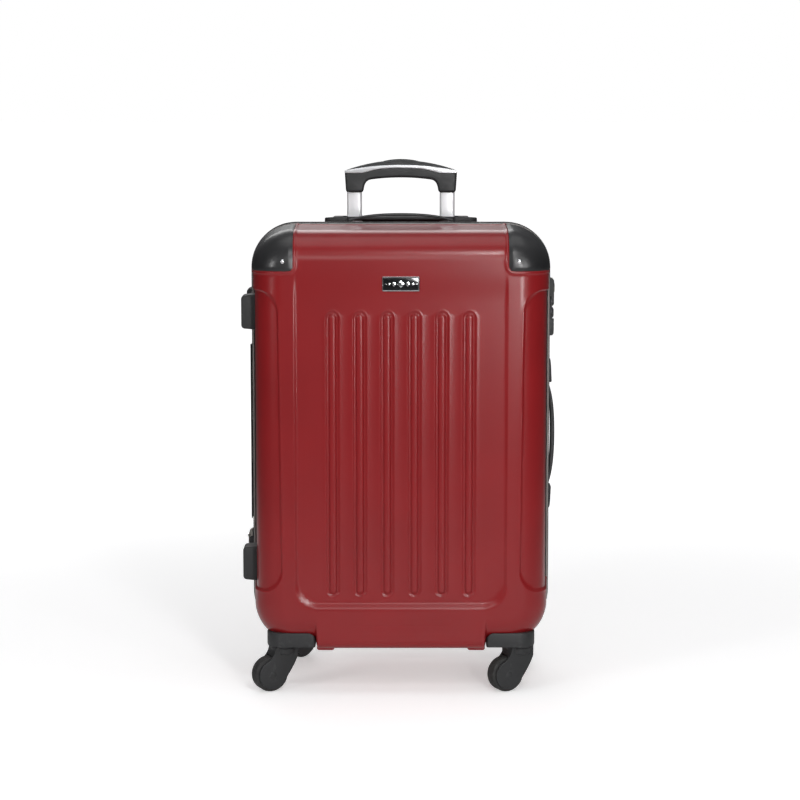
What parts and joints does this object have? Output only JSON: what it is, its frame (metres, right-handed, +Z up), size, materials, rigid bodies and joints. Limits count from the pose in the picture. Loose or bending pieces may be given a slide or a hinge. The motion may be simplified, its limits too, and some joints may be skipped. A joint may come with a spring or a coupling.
{
  "type": "hard shell suitcase on wheels",
  "caption": "Ribbed hard shell suitcase with corner guards, expander zip, telescopic trolley handle, carry handles, combination lock and swivelling casters.",
  "frame": {"origin": "on the floor under the middle of the case, where its wheels stand", "axes": "+Z up, -Y out of the front face with the badge, +X to the viewer's right, towards the lock"},
  "size_m": [0.448, 0.268, 0.7458],
  "materials": {
    "shell": "satin dark red, moulded",
    "corner_guard": "glossy black",
    "lining": "thin woven lining",
    "zip_tape": "woven black tape",
    "black_plastic": "fine-grained matt",
    "tyre_rubber": "smooth matt",
    "tube_aluminium": "anodised, finely brushed",
    "bright_trim": "polished",
    "zip_metal": "dull nickel"
  },
  "bodies": {
    "rear_case": {"rear_shell": "shell", "rear_lining": "lining", "rear_guard_left": "corner_guard", "rear_guard_right": "corner_guard", "rear_foot_upper": "black_plastic", "rear_foot_lower": "black_plastic", "rear_caster_housing_left": "black_plastic", "rear_caster_housing_right": "black_plastic", "rear_zip_band": "zip_tape", "outer_tube_left": "tube_aluminium", "outer_tube_right": "tube_aluminium", "trolley_bezel": "black_plastic", "trolley_bracket": "black_plastic", "top_handle_base": "black_plastic", "side_handle_base": "black_plastic", "lock_housing": "black_plastic"},
    "mid_frame": {"middle_zip_band": "zip_tape", "expander_gusset": "zip_tape", "cloth_hinge": "zip_tape"},
    "front_case": {"front_shell": "shell", "front_lining": "lining", "front_zip_band": "zip_tape", "front_guard_left": "corner_guard", "front_guard_right": "corner_guard", "front_foot_upper": "black_plastic", "front_foot_lower": "black_plastic", "front_caster_housing_left": "black_plastic", "front_caster_housing_right": "black_plastic", "badge_frame": "bright_trim", "badge_plate": "black_plastic", "divider_panel": "lining"},
    "middle_tubes": {"middle_tube_left": "tube_aluminium", "middle_tube_right": "tube_aluminium"},
    "trolley_grip": {"inner_tube_left": "tube_aluminium", "inner_tube_right": "tube_aluminium", "grip_body": "black_plastic", "grip_inlay": "bright_trim"},
    "grip_button": {"grip_button": "black_plastic"},
    "top_handle": {"top_handle_strap": "black_plastic"},
    "side_handle": {"side_handle_strap": "black_plastic"},
    "lock_slider_upper": {"lock_slider_upper": "zip_metal"},
    "lock_slider_lower": {"lock_slider_lower": "zip_metal"},
    "expander_slider": {"expander_slider": "zip_metal"},
    "expander_pull": {"expander_pull": "zip_metal"},
    "lock_dial_1": {"lock_dial_1": "black_plastic"},
    "lock_dial_2": {"lock_dial_2": "black_plastic"},
    "lock_dial_3": {"lock_dial_3": "black_plastic"},
    "lock_button": {"lock_button": "zip_metal"},
    "fork_front_left": {"fork_front_left": "black_plastic", "axle_front_left": "zip_metal"},
    "wheel_front_left": {"wheel_front_left": "tyre_rubber"},
    "fork_front_right": {"fork_front_right": "black_plastic", "axle_front_right": "zip_metal"},
    "wheel_front_right": {"wheel_front_right": "tyre_rubber"},
    "fork_rear_left": {"fork_rear_left": "black_plastic", "axle_rear_left": "zip_metal"},
    "wheel_rear_left": {"wheel_rear_left": "tyre_rubber"},
    "fork_rear_right": {"fork_rear_right": "black_plastic", "axle_rear_right": "zip_metal"},
    "wheel_rear_right": {"wheel_rear_right": "tyre_rubber"}
  },
  "joints": [
    {"name": "front_opening", "type": "hinge", "parent": "rear_case", "child": "mid_frame", "pos_m": [-0.2245, 0, 0.36], "axis": [0, 0, -1], "range_deg": [0, 180]},
    {"name": "expander_slide", "type": "slide", "parent": "mid_frame", "child": "front_case", "axis": [0, -1, 0], "range_m": [0, 0.03]},
    {"name": "trolley_middle_slide", "type": "slide", "parent": "rear_case", "child": "middle_tubes", "axis": [0, 0, 1], "range_m": [0, 0.15]},
    {"name": "trolley_grip_slide", "type": "slide", "parent": "middle_tubes", "child": "trolley_grip", "axis": [0, 0, 1], "range_m": [-0.033, 0.16]},
    {"name": "grip_button_press", "type": "slide", "parent": "trolley_grip", "child": "grip_button", "axis": [0, 0, -1], "range_m": [0, 0.0035], "stiffness_N_per_m": 400, "springref_m": -0.002},
    {"name": "top_handle_lift", "type": "slide", "parent": "rear_case", "child": "top_handle", "axis": [0, 0.0523, 0.9986], "range_m": [0, 0.0024]},
    {"name": "side_handle_lift", "type": "slide", "parent": "rear_case", "child": "side_handle", "axis": [1, 0, 0], "range_m": [0, 0.0024]},
    {"name": "lock_slider_upper_slide", "type": "slide", "parent": "mid_frame", "child": "lock_slider_upper", "axis": [0, 0, 1], "range_m": [0, 0.04]},
    {"name": "lock_slider_lower_slide", "type": "slide", "parent": "mid_frame", "child": "lock_slider_lower", "axis": [0, 0, -1], "range_m": [0, 0.38]},
    {"name": "expander_slider_slide", "type": "slide", "parent": "mid_frame", "child": "expander_slider", "axis": [0, 0, 1], "range_m": [0, 0.34]},
    {"name": "expander_pull_swing", "type": "hinge", "parent": "expander_slider", "child": "expander_pull", "pos_m": [-0.2192, -0.0124, 0.2074], "axis": [0, 1, 0], "range_deg": [0, 60]},
    {"name": "lock_button_press", "type": "slide", "parent": "rear_case", "child": "lock_button", "axis": [-1, 0, 0], "range_m": [0, 0.0015], "stiffness_N_per_m": 300, "springref_m": -0.002},
    {"name": "lock_dial_1_turn", "type": "hinge", "parent": "rear_case", "child": "lock_dial_1", "pos_m": [0.2154, 0.026, 0.5032], "axis": [0, 0, 1], "continuous": true},
    {"name": "lock_dial_2_turn", "type": "hinge", "parent": "rear_case", "child": "lock_dial_2", "pos_m": [0.2154, 0.026, 0.5096], "axis": [0, 0, 1], "continuous": true},
    {"name": "lock_dial_3_turn", "type": "hinge", "parent": "rear_case", "child": "lock_dial_3", "pos_m": [0.2154, 0.026, 0.516], "axis": [0, 0, 1], "continuous": true},
    {"name": "caster_front_left_swivel", "type": "hinge", "parent": "front_case", "child": "fork_front_left", "pos_m": [-0.167, -0.092, 0.06], "axis": [0, 0, 1], "continuous": true},
    {"name": "wheel_front_left_spin", "type": "hinge", "parent": "fork_front_left", "child": "wheel_front_left", "pos_m": [-0.18603, -0.10088, 0.025], "axis": [0.4226, -0.9063, 0], "continuous": true},
    {"name": "caster_front_right_swivel", "type": "hinge", "parent": "front_case", "child": "fork_front_right", "pos_m": [0.167, -0.092, 0.06], "axis": [0, 0, 1], "continuous": true},
    {"name": "wheel_front_right_spin", "type": "hinge", "parent": "fork_front_right", "child": "wheel_front_right", "pos_m": [0.14797, -0.10088, 0.025], "axis": [0.4226, -0.9063, 0], "continuous": true},
    {"name": "caster_rear_left_swivel", "type": "hinge", "parent": "rear_case", "child": "fork_rear_left", "pos_m": [-0.167, 0.092, 0.06], "axis": [0, 0, 1], "continuous": true},
    {"name": "wheel_rear_left_spin", "type": "hinge", "parent": "fork_rear_left", "child": "wheel_rear_left", "pos_m": [-0.15215, 0.10685, 0.025], "axis": [-0.7071, 0.7071, 0], "continuous": true},
    {"name": "caster_rear_right_swivel", "type": "hinge", "parent": "rear_case", "child": "fork_rear_right", "pos_m": [0.167, 0.092, 0.06], "axis": [0, 0, 1], "continuous": true},
    {"name": "wheel_rear_right_spin", "type": "hinge", "parent": "fork_rear_right", "child": "wheel_rear_right", "pos_m": [0.16517, 0.07108, 0.025], "axis": [0.9962, -0.0872, 0], "continuous": true}
  ]
}
